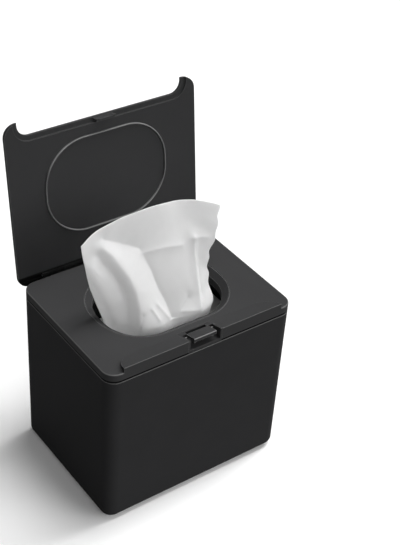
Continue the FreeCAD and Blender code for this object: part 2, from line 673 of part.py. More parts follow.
# Frame of the button: a small tray in the notch, open to the front, with a slot for the hook.
def make_latch_bezel():
    body = new_body("latch_bezel")
    block = sketch_on(body, "YZ_Plane")
    add_polygon(block, [
        (BEZEL_FRONT, COVER_FOOT),
        (BEZEL_BACK, COVER_FOOT),
        (BEZEL_BACK, COVER_TOP),
        (RAMP_BACK, COVER_TOP),
        (BEZEL_FRONT, ramp_at(BEZEL_FRONT)),
    ])
    extrude(body, block, "bezel_width", symmetric=True)
    inside = "bezel_width - 2 * bezel_wall"
    tray = sketch_on(body, "YZ_Plane")
    add_box(tray, f"{BEZEL_FRONT} - overrun", f"{BEZEL_BACK} - bezel_wall / 2",
            BEZEL_FLOOR, f"{COVER_TOP} - deck_thickness")
    extrude(body, tray, inside, kind="Pocket", symmetric=True)
    bay = sketch_on(body, "YZ_Plane")
    add_box(bay, f"{BEZEL_FRONT} - overrun", SLOT_FRONT, BEZEL_FLOOR,
            f"{COVER_TOP} + lip_height + overrun")
    extrude(body, bay, inside, kind="Pocket", symmetric=True)
    slot = sketch_on(body, "YZ_Plane")
    add_box(slot, f"{SLOT_FRONT} - bezel_gap", SLOT_BACK, BEZEL_FLOOR,
            f"{COVER_TOP} + lip_height + overrun")
    extrude(body, slot, "hook_width + 2 * hook_clearance", kind="Pocket", symmetric=True)
    bore = sketch_on(body, "YZ_Plane")
    add_circle(bore, "button_pin_radius + pin_clearance", BUTTON_PIN_Y, BUTTON_PIN_Z)
    extrude(body, bore, "bezel_width + overrun", kind="Pocket", symmetric=True)
    return body


# Button: a sloping tab with a turned-down front edge, two fins and a boss at each end of its pin.
def make_latch_button():
    body = new_body("latch_button")
    tab = sketch_on(body, "YZ_Plane")
    behind_front = f"{BUTTON_FRONT} + button_front"
    add_polygon(tab, [
        (BUTTON_FRONT, ramp_at(BUTTON_FRONT)),
        (BUTTON_FRONT, f"{ramp_at(BUTTON_FRONT)} - button_drop"),
        (behind_front, f"{ramp_at(BUTTON_FRONT)} - button_drop"),
        (behind_front, f"{ramp_at(behind_front)} - button_skin"),
        (BUTTON_BACK, f"{ramp_at(BUTTON_BACK)} - button_skin"),
        (BUTTON_BACK, ramp_at(BUTTON_BACK)),
    ])
    extrude(body, tab, "button_width", symmetric=True)
    front = number(BUTTON_FRONT)
    top = number(ramp_at(BUTTON_FRONT))
    round_edges(body, "button_round", lambda edge: same(edge.BoundBox.YMax, front)
                and same(edge.BoundBox.ZMin, top))
    for side in (-1, 1):
        boss = sketch_on(body, "YZ_Plane", f"{side} * ( button_width - boss_length ) / 2")
        add_circle(boss, "button_boss", BUTTON_PIN_Y, BUTTON_PIN_Z)
        extrude(body, boss, "boss_length", symmetric=True)
        fin = sketch_on(body, "YZ_Plane", f"{side} * fin_spread")
        low = f"{BUTTON_FRONT} + fin_setback"
        high = f"{low} + fin_depth"
        add_box(fin, low, high, f"{ramp_at(high)} - button_skin - fin_reach",
                f"{ramp_at(high)} - button_skin / 2")
        extrude(body, fin, "fin_thickness", symmetric=True)
    bore = sketch_on(body, "YZ_Plane")
    add_circle(bore, "button_pin_radius + pin_clearance", BUTTON_PIN_Y, BUTTON_PIN_Z)
    extrude(body, bore, "button_width + overrun", kind="Pocket", symmetric=True)
    return body


# Spring under the button: wire with six sides, for few faces, on quarter turns, from the floor of the
# frame to the tab.
def make_button_spring():
    radius = number("spring_radius")
    wire = number("spring_wire")
    pin_front = f"( {BUTTON_PIN_Y} - button_pin_radius )"
    middle_y = number(f"( {BUTTON_FRONT} + button_front + {pin_front} ) / 2")
    foot = number(f"{BEZEL_FLOOR} + spring_gap") + wire
    head = number(f"{ramp_at(pin_front)} - button_skin - spring_gap") - wire
    quarters = round(4 * number("spring_turns"))
    rise = (head - foot) / quarters

    def on_coil(step):
        turn = step * math.pi / 2
        return FreeCAD.Vector(radius * math.cos(turn), middle_y + radius * math.sin(turn),
                              foot + rise * step)

    arcs = [Part.Arc(on_coil(step), on_coil(step + 0.5), on_coil(step + 1)).toShape()
            for step in range(quarters)]
    path = Part.Wire(arcs)
    corners = [math.pi / 3 * side for side in range(7)]
    spots = [on_coil(0) + FreeCAD.Vector(wire * math.cos(corner), 0, wire * math.sin(corner))
             for corner in corners]
    section = Part.makePolygon(spots)
    spring = doc.addObject("Part::Feature", "button_spring")
    spring.Label = "button_spring"
    spring.Shape = path.makePipeShell([section], True, False)
    return spring


# Folded wipes in the tub.
def make_wipe_stack():
    body = new_body("wipe_stack")
    block = sketch_on(body, level=STACK_FOOT)
    add_oval(block, "width - 2 * ( wall + stack_side_gap )", "depth - 2 * ( wall + stack_end_gap )",
             "stack_radius")
    extrude(body, block, f"{STACK_TOP} - {STACK_FOOT}")
    round_edges(body, "stack_round", level_edge(STACK_TOP))
    return body


# The standing wipe: a sheet lofted through wavy sections from the stack up to its top edge. Each
# section has its share of the rise, the X and Y of its two ends, the Y of the stretch between them and
# the depth of its folds. Places are shares of half the throat.
WIPE_RISE_SHARES = [0.0, 0.13, 0.24, 0.34, 0.48, 0.65, 0.82, 0.975]
WIPE_LEFT_SHARES = [-0.46, -0.74, -0.87, -0.95, -1.07, -1.18, -1.26, -1.31]
WIPE_RIGHT_SHARES = [0.35, 0.56, 0.68, 0.70, 0.76, 0.77, 0.87, 0.90]
WIPE_LEFT_END_SHARES = [0.0, 0.02, 0.05, 0.07, 0.07, 0.07, 0.07, 0.07]
WIPE_RIGHT_END_SHARES = [-0.10, -0.35, -0.60, -0.68, -0.34, -0.31, -0.30, -0.30]
WIPE_FRONT_SHARES = [-0.15, -0.45, -0.82, -0.91, -0.68, -0.39, -0.11, 0.11]
WIPE_FOLD_SHARES = [0.03, 0.03, 0.04, 0.05, 0.07, 0.08, 0.07, 0.04]
WIPE_ARC_SHARES = [0.0, 0.16, 0.30, 0.46, 0.62, 0.80, 1.0]
WIPE_LEFT_RETURN_SHARE = 0.42
WIPE_RIGHT_RETURN_SHARE = 0.28


def wipe_section(index):
    """One closed section: a row of arcs along the front and the same row back again behind it."""
    half_width = number(f"{THROAT_WIDTH} / 2 - wipe_clearance")
    half_depth = number(f"{THROAT_DEPTH} / 2 - wipe_clearance")
    foot = number(f"{STACK_TOP} + soft_gap")
    rise = number(f"{COVER_TOP} + wipe_rise") - foot
    tilt = number("wipe_tilt")
    left = half_width * WIPE_LEFT_SHARES[index]
    right = half_width * WIPE_RIGHT_SHARES[index]
    left_end = half_depth * WIPE_LEFT_END_SHARES[index]
    right_end = half_depth * WIPE_RIGHT_END_SHARES[index]
    front_line = half_depth * WIPE_FRONT_SHARES[index]
    fold = half_depth * WIPE_FOLD_SHARES[index]
    thickness = number("wipe_thickness")

    def along(share, ripple):
        from_left = max(0, 1 - share / WIPE_LEFT_RETURN_SHARE) ** 2
        from_right = max(0, 1 - (1 - share) / WIPE_RIGHT_RETURN_SHARE) ** 2
        y = front_line + (left_end - front_line) * from_left + (right_end - front_line) * from_right
        z = foot + (rise + tilt * (2 * share - 1)) * WIPE_RISE_SHARES[index]
        return FreeCAD.Vector(left + (right - left) * share, y + ripple, z)

    front = []
    for turn, (start, finish) in enumerate(zip(WIPE_ARC_SHARES, WIPE_ARC_SHARES[1:])):
        ripple = fold if turn % 2 else -fold
        front.append((along(start, 0), along((start + finish) / 2, ripple), along(finish, 0)))
    back = FreeCAD.Vector(0, thickness, 0)
    edges = [Part.Arc(*spots).toShape() for spots in front]
    edges.append(Part.LineSegment(front[-1][2], front[-1][2] + back).toShape())
    for first, middle, last in reversed(front):
        edges.append(Part.Arc(last + back, middle + back, first + back).toShape())
    edges.append(Part.LineSegment(front[0][0] + back, front[0][0]).toShape())
    return Part.Wire(edges)


def make_leading_wipe():
    sections = [wipe_section(index) for index in range(len(WIPE_RISE_SHARES))]
    wipe = doc.addObject("Part::Feature", "leading_wipe")
    wipe.Label = "leading_wipe"
    wipe.Shape = Part.makeLoft(sections, True, True)
    return wipe


pieces = [make_tub()]
foot_labels = ["foot_front_left", "foot_front_right", "foot_rear_left", "foot_rear_right"]
pieces += [make_foot(label, place) for label, place in zip(foot_labels, foot_places())]
pieces += [
    make_cover(),
    make_cover_seal(),
    make_funnel(),
    make_flap(),
    make_flap_seal(),
    make_pin("hinge_pin", "pin_radius", BARREL_LENGTH, HINGE_Y, HINGE_Z),
    make_latch_bezel(),
    make_latch_button(),
    make_pin("button_pin", "button_pin_radius", "bezel_width", BUTTON_PIN_Y, BUTTON_PIN_Z),
    make_button_spring(),
    make_wipe_stack(),
    make_leading_wipe(),
]
doc.recompute()

for item in doc.Objects:
    if "Invalid" in item.State or "Error" in item.State:
        raise RuntimeError(f"{item.Label} did not recompute: {item.State}")
for piece in pieces:
    if piece.Shape.isNull() or not piece.Shape.isValid():
        raise RuntimeError(f"{piece.Label} has no valid shape")

os.makedirs("parts", exist_ok=True)
for piece in pieces:
    piece.Shape.exportStep(f"parts/{piece.Label}.step")
    box = piece.Shape.BoundBox
    print(f"{piece.Label}: {len(piece.Shape.Solids)} solid, {piece.Shape.Volume:.0f} mm3, "
          f"x {box.XMin:.1f} {box.XMax:.1f}, y {box.YMin:.1f} {box.YMax:.1f}, "
          f"z {box.ZMin:.1f} {box.ZMax:.1f}")
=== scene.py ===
import bpy
import bmesh
import math
from mathutils import Matrix, Vector, noise


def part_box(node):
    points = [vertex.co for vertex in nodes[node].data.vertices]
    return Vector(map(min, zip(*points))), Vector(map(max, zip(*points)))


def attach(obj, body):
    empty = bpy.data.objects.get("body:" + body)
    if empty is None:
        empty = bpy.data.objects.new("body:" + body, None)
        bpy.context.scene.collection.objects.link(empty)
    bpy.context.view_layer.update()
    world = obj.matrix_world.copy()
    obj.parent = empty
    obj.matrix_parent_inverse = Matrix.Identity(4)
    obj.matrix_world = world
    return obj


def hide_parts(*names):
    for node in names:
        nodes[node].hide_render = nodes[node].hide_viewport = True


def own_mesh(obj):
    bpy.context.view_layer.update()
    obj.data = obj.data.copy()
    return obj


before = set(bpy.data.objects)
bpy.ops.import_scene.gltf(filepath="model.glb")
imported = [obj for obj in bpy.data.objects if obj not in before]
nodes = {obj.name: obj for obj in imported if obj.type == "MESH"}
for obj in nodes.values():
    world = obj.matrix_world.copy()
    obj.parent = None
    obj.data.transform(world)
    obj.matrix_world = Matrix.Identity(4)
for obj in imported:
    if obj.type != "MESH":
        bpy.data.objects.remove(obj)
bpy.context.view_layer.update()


# The view: from the front left and above, with a long lens. The three rows are the camera's right,
# its up and the way it looks back, in the object's axes.
view = bpy.data.cameras.new("view")
view_holder = bpy.data.objects.new("view", view)
bpy.context.scene.collection.objects.link(view_holder)
right = Vector((0.8119765, -0.5807739, 0.0582748))
up = Vector((0.3068943, 0.5097147, 0.8037455))
back = right.cross(up)
eye = Vector((-0.498377, -0.694558, 0.823520))
view_holder.matrix_world = (Matrix.Translation(eye)
                            @ Matrix((right, up, back)).transposed().to_4x4())
film_width = 36
frame_height_pixels = 545
focal_pixels = 1235.4
view.sensor_width = film_width
view.lens = focal_pixels / frame_height_pixels * film_width
view.clip_end = 20
bpy.context.scene.camera = view_holder


# Tub: injection-moulded black plastic with a fine satin grain, slightly uneven in gloss where the
# mould was worn, glossier along its edges and painted paler there with a highlight. The grain and the
# glossy, highlit edges are shared effects, because cover, flap, funnel and button have them too.
def socket(group, name, kind, direction, default=None):
    """A named input or output of a shared effect."""
    made = group.interface.new_socket(name=name, socket_type=kind, in_out=direction)
    if default is not None:
        made.default_value = default


def ramp(tree_nodes, links, value, start, end, low=0.0, high=1.0, easing="LINEAR"):
    """Goes from low to high while a value goes from start to end."""
    slope = tree_nodes.new("ShaderNodeMapRange")
    slope.interpolation_type = easing
    slope.inputs["From Min"].default_value = start
    slope.inputs["From Max"].default_value = end
    slope.inputs["To Min"].default_value = low
    slope.inputs["To Max"].default_value = high
    links.new(value, slope.inputs["Value"])
    return slope.outputs["Result"]


def combine(tree_nodes, links, operation, first, second):
    """Two values put together. The second may be a plain number."""
    joined = tree_nodes.new("ShaderNodeMath")
    joined.operation = operation
    links.new(first, joined.inputs[0])
    if isinstance(second, float):
        joined.inputs[1].default_value = second
    else:
        links.new(second, joined.inputs[1])
    return joined.outputs["Value"]


def blend(tree_nodes, links, share, first, second, kind="RGBA"):
    """A mix of two colours, or with kind FLOAT of two numbers, each plain or from another node."""
    mix = tree_nodes.new("ShaderNodeMix")
    mix.data_type = kind
    links.new(share, mix.inputs["Factor"])
    for entry, part in (("A", first), ("B", second)):
        if isinstance(part, bpy.types.NodeSocket):
            links.new(part, mix.inputs[entry])
        elif kind == "RGBA":
            mix.inputs[entry].default_value = (*part, 1)
        else:
            mix.inputs[entry].default_value = part
    return mix.outputs["Result"]


def make_mould_grain():
    """The fine grain of the mould as a height, and a slow cloud that makes the gloss uneven."""
    group = bpy.data.node_groups.new("mould grain", "ShaderNodeTree")
    socket(group, "Grain scale", "NodeSocketFloat", "INPUT", 2600.0)
    socket(group, "Cloud scale", "NodeSocketFloat", "INPUT", 30.0)
    socket(group, "Height", "NodeSocketFloat", "OUTPUT")
    socket(group, "Cloud", "NodeSocketFloat", "OUTPUT")
    node = group.nodes.new
    link = group.links.new
    given = node("NodeGroupInput")
    result = node("NodeGroupOutput")
    place = node("ShaderNodeTexCoord")
    grain = node("ShaderNodeTexVoronoi")
    grain.feature = "SMOOTH_F1"
    fine = node("ShaderNodeTexNoise")
    fine.inputs["Detail"].default_value = 3
    cloud = node("ShaderNodeTexNoise")
    cloud.inputs["Detail"].default_value = 4
    cloud.inputs["Roughness"].default_value = 0.6
    both = node("ShaderNodeMix")
    both.inputs["Factor"].default_value = 0.45
    for texture in (grain, fine, cloud):
        link(place.outputs["Object"], texture.inputs["Vector"])
    link(given.outputs["Grain scale"], grain.inputs["Scale"])
    link(given.outputs["Grain scale"], fine.inputs["Scale"])
    link(given.outputs["Cloud scale"], cloud.inputs["Scale"])
    link(grain.outputs["Distance"], both.inputs["A"])
    link(fine.outputs["Fac"], both.inputs["B"])
    link(both.outputs["Result"], result.inputs["Height"])
    link(cloud.outputs["Fac"], result.inputs["Cloud"])
    return group


mould_grain = make_mould_grain()


def make_polished_highlit_edges():
    """1 along the edges of a piece, where it is glossier and a highlight is painted, and 0 on its
    faces.
    Sharp edges show in a rounded normal, and fillets in a normal that has left the axis of the piece."""
    group = bpy.data.node_groups.new("polished highlit edges", "ShaderNodeTree")
    socket(group, "Width", "NodeSocketFloat", "INPUT", 0.0006)
    socket(group, "Axis", "NodeSocketVector", "INPUT", (0, 0, 1))
    socket(group, "Edge", "NodeSocketFloat", "OUTPUT")
    node = group.nodes.new
    link = group.links.new
    given = node("NodeGroupInput")
    result = node("NodeGroupOutput")
    rounded = node("ShaderNodeBevel")
    rounded.samples = 6
    face = node("ShaderNodeNewGeometry")
    likeness = node("ShaderNodeVectorMath")
    likeness.operation = "DOT_PRODUCT"
    link(given.outputs["Width"], rounded.inputs["Radius"])
    link(rounded.outputs["Normal"], likeness.inputs[0])
    link(face.outputs["Normal"], likeness.inputs[1])
    nearly_flat, well_rounded = 0.985, 0.86
    sharp = ramp(group.nodes, group.links, likeness.outputs["Value"], nearly_flat, well_rounded)
    own = node("ShaderNodeTexCoord")
    lean = node("ShaderNodeVectorMath")
    lean.operation = "DOT_PRODUCT"
    link(own.outputs["Normal"], lean.inputs[0])
    link(given.outputs["Axis"], lean.inputs[1])
    off_the_side, off_the_top = (0.3, 0.55), (0.97, 0.85)
    above_side, below_top = [
        ramp(group.nodes, group.links, lean.outputs["Value"], start, end, easing="SMOOTHSTEP")
        for start, end in (off_the_side, off_the_top)]
    fillet = combine(group.nodes, group.links, "MULTIPLY", above_side, below_top)
    link(combine(group.nodes, group.links, "MAXIMUM", sharp, fillet), result.inputs["Edge"])
    return group


polished_highlit_edges = make_polished_highlit_edges()


def new_material(name):
    """A material with its nodes and links."""
    material = bpy.data.materials.new(name)
    material.use_nodes = True
    return material, material.node_tree.nodes, material.node_tree.links


def spread(tree_nodes, links, cloud, low, high):
    """Turn a cloudy value about 0.5 into one between low and high."""
    cloud_low, cloud_high = 0.3, 0.7
    return ramp(tree_nodes, links, cloud, cloud_low, cloud_high, low, high)


def beyond_limits(tree_nodes, links, limits):
    """1 beyond any of the limits, each given as X, Y or Z, where it starts and where it is full."""
    place = tree_nodes.new("ShaderNodeTexCoord")
    parts = tree_nodes.new("ShaderNodeSeparateXYZ")
    links.new(place.outputs["Object"], parts.inputs["Vector"])
    steps = [ramp(tree_nodes, links, parts.outputs[part], start, full)
             for part, start, full in limits]
    total = steps[0]
    for step in steps[1:]:
        total = combine(tree_nodes, links, "MAXIMUM", total, step)
    return total


edge_polish = 0.32
edge_coat = 0.3
# The dark of the painted shade in the gaps between parts.
painted_shade_black = (0.005, 0.005, 0.005)


def moulded_plastic(name, dark, light, smooth, rough, gloss, grain_depth=0.00002, cloud_scale=30.0,
                    edge_highlight=0.1, edge_width=0.0006, axis=(0, 0, 1), shaded_beyond=()):
    """Clouded between two colours and two roughnesses, glossier at the edges and painted paler there
    with a highlight, and painted dark and dull, as shade, in the places beyond its limits."""
    material, tree_nodes, links = new_material(name)
    shader = tree_nodes["Principled BSDF"]
    grain = tree_nodes.new("ShaderNodeGroup")
    grain.node_tree = mould_grain
    grain.inputs["Cloud scale"].default_value = cloud_scale
    edges = tree_nodes.new("ShaderNodeGroup")
    edges.node_tree = polished_highlit_edges
    edges.inputs["Width"].default_value = edge_width
    edges.inputs["Axis"].default_value = axis
    cloud = grain.outputs["Cloud"]
    edge = edges.outputs["Edge"]
    colour = blend(tree_nodes, links, cloud, dark, light)
    # A painted highlight: the colour is made paler along the edges.
    colour = blend(tree_nodes, links, edge, colour, [edge_highlight] * 3)
    coat = combine(tree_nodes, links, "MULTIPLY", edge, edge_coat)
    # Beyond the limits the colour is a painted shade, dark for the gaps between parts, and the coat is
    # taken off there.
    if shaded_beyond:
        painted_shade = beyond_limits(tree_nodes, links, shaded_beyond)
        colour = blend(tree_nodes, links, painted_shade, colour, painted_shade_black)
        coat = blend(tree_nodes, links, painted_shade, coat, 0.0, kind="FLOAT")
    roughness = blend(tree_nodes, links, edge, spread(tree_nodes, links, cloud, smooth, rough),
                      edge_polish, kind="FLOAT")
    links.new(colour, shader.inputs["Base Color"])
    links.new(roughness, shader.inputs["Roughness"])
    links.new(coat, shader.inputs["Coat Weight"])
    shader.inputs["Coat Roughness"].default_value = 0.25
    shader.inputs["Specular IOR Level"].default_value = gloss
    bump = tree_nodes.new("ShaderNodeBump")
    bump.inputs["Strength"].default_value = 0.6
    bump.inputs["Distance"].default_value = grain_depth
    links.new(grain.outputs["Height"], bump.inputs["Height"])
    links.new(bump.outputs["Normal"], shader.inputs["Normal"])
    return material


def dress(name, material):
    """Give a carried-over piece its finish."""
    piece = nodes[name]
    for slot in piece.material_slots:
        slot.material = material
    if not piece.material_slots:
        piece.data.materials.append(material)


# The tub's copy of the black plastic is the darkest, as painted shade on its sides.
tub_plastic = moulded_plastic("satin tub plastic", (0.03, 0.03, 0.031), (0.036, 0.036, 0.037),
                              smooth=0.5, rough=0.6, gloss=0.004)
dress("tub", tub_plastic)


# Feet: four soft rubber discs pressed into recesses under the tub. Rubber is duller than the tub and
# has a little dust in its grain.
foot_rubber = moulded_plastic("foot rubber", (0.016, 0.016, 0.016), (0.035, 0.034, 0.033),
                              smooth=0.7, rough=0.85, gloss=0.25, grain_depth=0.00005,
                              cloud_scale=180.0)
for foot in ("foot_front_left", "foot_front_right", "foot_rear_left", "foot_rear_right"):
    dress(foot, foot_rubber)


# Cover: the same black plastic, moulded with the lip, the seat of the funnel and the hinge knuckles.
# Its top is handled most, so its gloss is a little higher and more uneven than the tub's. What lies in
# the seam over the tub and behind the back edge is painted dark and dull, as shade in the gap between
# the parts.
# Where the cover's painted shade starts: in the seam over the tub, and behind its back edge at the
# hinge.
seam_line = ("Z", 0.1623, 0.1620)
back_edge = ("Y", 0.0716, 0.0722)
# The cover's copy of the same black is painted paler, as painted light for its top, which the lamps
# strike most.
cover_plastic = moulded_plastic("satin cover plastic", (0.041, 0.041, 0.042), (0.049, 0.049, 0.05),
                                smooth=0.46, rough=0.57, gloss=0.006, cloud_scale=22.0,
                                shaded_beyond=(seam_line, back_edge))
dress("cover", cover_plastic)
# The ring round the cover's skirt, and later the one on the flap, are a smoother rubber, painted a
# paler grey as the highlight along the thin rings.
soft_seal = moulded_plastic("soft seal", (0.06, 0.06, 0.061), (0.085, 0.085, 0.086),
                            smooth=0.3, rough=0.42, gloss=0.6, cloud_scale=120.0,
                            edge_highlight=0.2, edge_width=0.0004)
dress("cover_seal", soft_seal)


# Funnel: a separate smooth ring that leads the wipe up through the oval throat, so its slope is
# polished by the cloth that is drawn over it.
no_axis = (0, 0, 0)
# Its sharp edges get a strong painted highlight.
funnel_plastic = moulded_plastic("smooth funnel plastic", (0.032, 0.032, 0.033), (0.04, 0.04, 0.041),
                                 smooth=0.38, rough=0.5, gloss=0.04, grain_depth=0.00001,
                                 cloud_scale=60.0, edge_highlight=0.2, edge_width=0.0009, axis=no_axis)
dress("funnel", funnel_plastic)


# Flap with its soft ring and hinge pin: a thin satin plate with a rebated front edge and a hook, with
# painted shade, dark and dull, at its knuckles in the hinge. The ring sits in its inner face, and the
# pin through the knuckles is steel, drawn along X, so its streaks are long that way.
flap_normal = (0, -0.9925, 0.1219)
# Below this the flap's knuckles get the painted shade of the hinge.
knuckle_top = ("Z", 0.1735, 0.1722)
# The flap's copy lies between the tub's and the cover's, painted paler for the weaker light on its
# inner face.
flap_plastic = moulded_plastic("satin flap plastic", (0.036, 0.036, 0.037), (0.043, 0.043, 0.044),
                               smooth=0.46, rough=0.57, gloss=0.012, cloud_scale=18.0,
                               axis=flap_normal, shaded_beyond=(knuckle_top,))
dress("flap", flap_plastic)
dress("flap_seal", soft_seal)


def drawn_steel(name, colour):
    """Steel with fine streaks along X."""
    material, tree_nodes, links = new_material(name)
    shader = tree_nodes["Principled BSDF"]
    shader.inputs["Metallic"].default_value = 1.0
    place = tree_nodes.new("ShaderNodeTexCoord")
    draw = tree_nodes.new("ShaderNodeMapping")
    along, across = 40, 2400
    draw.inputs["Scale"].default_value = (along, across, across)
    streaks = tree_nodes.new("ShaderNodeTexNoise")
    streaks.inputs["Scale"].default_value = 1.0
    streaks.inputs["Detail"].default_value = 3
    links.new(place.outputs["Object"], draw.inputs["Vector"])
    links.new(draw.outputs["Vector"], streaks.inputs["Vector"])
    shade = [0.75 * part for part in colour]
    links.new(blend(tree_nodes, links, streaks.outputs["Fac"], shade, colour),
              shader.inputs["Base Color"])
    links.new(spread(tree_nodes, links, streaks.outputs["Fac"], 0.22, 0.4), shader.inputs["Roughness"])
    return material


dress("hinge_pin", drawn_steel("drawn steel", (0.62, 0.62, 0.63)))


# Press button and its frame: small glossier mouldings in the notch of the lip. The button rocks on a
# pin over a coil spring, both of blackened steel, so that no bright end shows beside it.
# The button's and the frame's edges get a painted highlight too.
button_plastic = moulded_plastic("button plastic", (0.032, 0.032, 0.033), (0.04, 0.04, 0.041),
                                 smooth=0.36, rough=0.48, gloss=0.03, grain_depth=0.00001,
                                 cloud_scale=90.0, edge_highlight=0.15)
dress("latch_button", button_plastic)
frame_plastic = moulded_plastic("frame plastic", (0.034, 0.034, 0.035), (0.042, 0.042, 0.043),
                                smooth=0.42, rough=0.54, gloss=0.015, grain_depth=0.00001,
                                cloud_scale=60.0, edge_highlight=0.06)
dress("latch_bezel", frame_plastic)
black_steel = drawn_steel("blackened steel", (0.13, 0.13, 0.13))
for part in ("button_pin", "button_spring"):
    dress(part, black_steel)


# Folded wipes in the tub: a block of damp cloth folded in layers, each a little out of line with the
# next. The sides are pressed in between the layers.
stack_low, stack_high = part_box("wipe_stack")
stack_shape = bmesh.new()
bmesh.ops.create_cube(stack_shape, size=1.0)
bmesh.ops.scale(stack_shape, vec=stack_high - stack_low, verts=stack_shape.verts)
bmesh.ops.translate(stack_shape, vec=(stack_low + stack_high) / 2, verts=stack_shape.verts)


def upright_edges(shape):
    """The edges of a block that run from its foot to its top."""
    return [edge for edge in shape.edges
            if abs(edge.verts[0].co.z - edge.verts[1].co.z) > 0.01]


corner_radius = 0.006
bmesh.ops.bevel(stack_shape, geom=upright_edges(stack_shape), offset=corner_radius, affect="EDGES",
                segments=4, profile=0.5, material=-1)
layer_count = 28
groove_width = 0.992
fold_width = 0.9965
fold_slip = 0.003
bmesh.ops.subdivide_edges(stack_shape, edges=upright_edges(stack_shape),
                          cuts=2 * layer_count - 1, use_grid_fill=True)
layer_height = (stack_high.z - stack_low.z) / (2 * layer_count)
for vert in stack_shape.verts:
    step = round((vert.co.z - stack_low.z) / layer_height)
    middle = Vector((0, 0, vert.co.z))
    outward = vert.co - middle
    if step % 2 == 0:
        vert.co = middle + outward * groove_width
    else:
        slip = noise.noise(Vector((step * 0.37, 0, 7.1)))
        vert.co = middle + outward * (fold_width + fold_slip * slip)
stack_mesh = bpy.data.meshes.new("folded_wipes")
stack_shape.to_mesh(stack_mesh)
stack_shape.free()
folded_wipes = bpy.data.objects.new("folded_wipes", stack_mesh)
bpy.context.scene.collection.objects.link(folded_wipes)
for face in stack_mesh.polygons:
    face.use_smooth = abs(face.normal.z) < 0.9


def make_cloth_fibre():
    """The tangle of short fibres in a nonwoven cloth, with a fine embossed grid."""
    group = bpy.data.node_groups.new("cloth fibre", "ShaderNodeTree")
    socket(group, "Vector", "NodeSocketVector", "INPUT")
    socket(group, "Fibre scale", "NodeSocketFloat", "INPUT", 900.0)
    socket(group, "Height", "NodeSocketFloat", "OUTPUT")
    socket(group, "Fleck", "NodeSocketFloat", "OUTPUT")
    node = group.nodes.new
    link = group.links.new
    given = node("NodeGroupInput")
    result = node("NodeGroupOutput")
    fibre = node("ShaderNodeTexNoise")
    fibre.inputs["Detail"].default_value = 5
    fibre.inputs["Distortion"].default_value = 1.2
    dots = node("ShaderNodeTexVoronoi")
    dots.feature = "F1"
    fleck = node("ShaderNodeTexNoise")
    fleck.inputs["Scale"].default_value = 70
    fleck.inputs["Detail"].default_value = 4
    both = node("ShaderNodeMix")
    both.inputs["Factor"].default_value = 0.35
    for texture in (fibre, dots, fleck):
        link(given.outputs["Vector"], texture.inputs["Vector"])
    link(given.outputs["Fibre scale"], fibre.inputs["Scale"])
    link(given.outputs["Fibre scale"], dots.inputs["Scale"])
    link(fibre.outputs["Fac"], both.inputs["A"])
    link(dots.outputs["Distance"], both.inputs["B"])
    link(both.outputs["Result"], result.inputs["Height"])
    link(fleck.outputs["Fac"], result.inputs["Fleck"])
    return group


cloth_fibre = make_cloth_fibre()


def nonwoven(name, shade, light, coordinate, translucence, fibre_depth, light_through=0.0):
    """Damp white cloth, flecked between two colours. Light that comes through a single sheet is a
    second shader beside the first."""
    material, tree_nodes, links = new_material(name)
    shader = tree_nodes["Principled BSDF"]
    place = tree_nodes.new("ShaderNodeTexCoord")
    fibre = tree_nodes.new("ShaderNodeGroup")
    fibre.node_tree = cloth_fibre
    links.new(place.outputs[coordinate], fibre.inputs["Vector"])
    fleck = fibre.outputs["Fleck"]
    colour = blend(tree_nodes, links, fleck, shade, light)
    links.new(colour, shader.inputs["Base Color"])
    links.new(spread(tree_nodes, links, fleck, 0.5, 0.68), shader.inputs["Roughness"])
    bump = tree_nodes.new("ShaderNodeBump")
    bump.inputs["Strength"].default_value = 0.5
    bump.inputs["Distance"].default_value = fibre_depth
    links.new(fibre.outputs["Height"], bump.inputs["Height"])
    links.new(bump.outputs["Normal"], shader.inputs["Normal"])
    shader.inputs["Specular IOR Level"].default_value = 0.4
    shader.inputs["Sheen Weight"].default_value = 0.08
    shader.inputs["Subsurface Weight"].default_value = translucence
    shader.inputs["Subsurface Radius"].default_value = (0.004, 0.004, 0.004)
    shader.inputs["Subsurface Scale"].default_value = 1.0
    if light_through:
        thin = tree_nodes.new("ShaderNodeBsdfTranslucent")
        links.new(colour, thin.inputs["Color"])
        cloth = tree_nodes.new("ShaderNodeMixShader")
        cloth.inputs["Fac"].default_value = light_through
        links.new(shader.outputs["BSDF"], cloth.inputs[1])
        links.new(thin.outputs["BSDF"], cloth.inputs[2])
        links.new(cloth.outputs["Shader"], tree_nodes["Material Output"].inputs["Surface"])
    return material


stack_cloth = nonwoven("folded cloth", (0.72, 0.72, 0.71), (0.84, 0.84, 0.83),
                       coordinate="Object", translucence=0.0, fibre_depth=0.0003)
stack_mesh.materials.append(stack_cloth)
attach(folded_wipes, "tub_body")
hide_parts("wipe_stack")


# Standing wipe: one damp nonwoven sheet drawn up through the throat, gathered at its foot on the
# stack and pulled up at its right corner, so folds run from there and from its upper left corner down
# to the throat's front. It is a grid, bent along smooth stations and then along its folds.

# Stations: the share of the rise, the X and Y of both edges and the Y of the stretch between them.
stations = [
    (0.00, -0.0260, 0.000, 0.0200, -0.0040, -0.0060),
    (0.13, -0.0420, 0.001, 0.0320, -0.0140, -0.0180),
    (0.24, -0.0495, 0.002, 0.0380, -0.0240, -0.0345),
    (0.34, -0.0545, 0.003, 0.0400, -0.0275, -0.0371),
    (0.38, -0.0563, 0.003, 0.0412, -0.0235, -0.0350),
    (0.45, -0.0593, 0.003, 0.0438, -0.0150, -0.0292),
    (0.56, -0.0640, 0.003, 0.0430, -0.0130, -0.0220),
    (0.67, -0.0677, 0.003, 0.0440, -0.0125, -0.0145),
    (0.78, -0.0710, 0.003, 0.0495, -0.0122, -0.0070),
    (0.89, -0.0730, 0.003, 0.0509, -0.0120, 0.0000),
    (1.00, -0.0747, 0.003, 0.0510, -0.0120, 0.0060),
]
